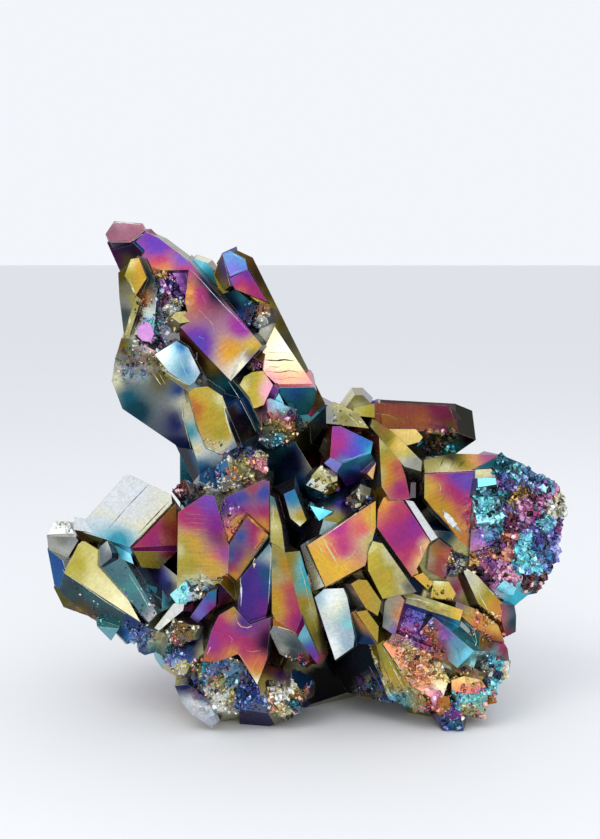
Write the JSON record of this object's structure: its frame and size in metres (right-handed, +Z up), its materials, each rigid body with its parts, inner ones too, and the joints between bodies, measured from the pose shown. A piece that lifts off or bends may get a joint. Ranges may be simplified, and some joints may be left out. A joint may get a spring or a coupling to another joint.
{
  "type": "titanium aura quartz cluster",
  "caption": "Free-standing cluster of intergrown quartz crystals under an iridescent titanium film: tall leaning crystals over a fan of broken blades, flat under its root.",
  "frame": {"origin": "on the resting plane, under the middle of the root", "axes": "+X to the viewer's right along the longest side, +Y away from the viewer, +Z up"},
  "size_m": [0.0442, 0.0251, 0.0421],
  "materials": {
    "aura_quartz": "opaque, mirror-like titanium film on quartz, running from pale blue-grey through gold, orange, magenta, purple and blue to teal from facet to facet, with rough glittering breaks"
  },
  "bodies": {
    "root": {"quartz_cluster": "aura_quartz"}
  },
  "joints": []
}
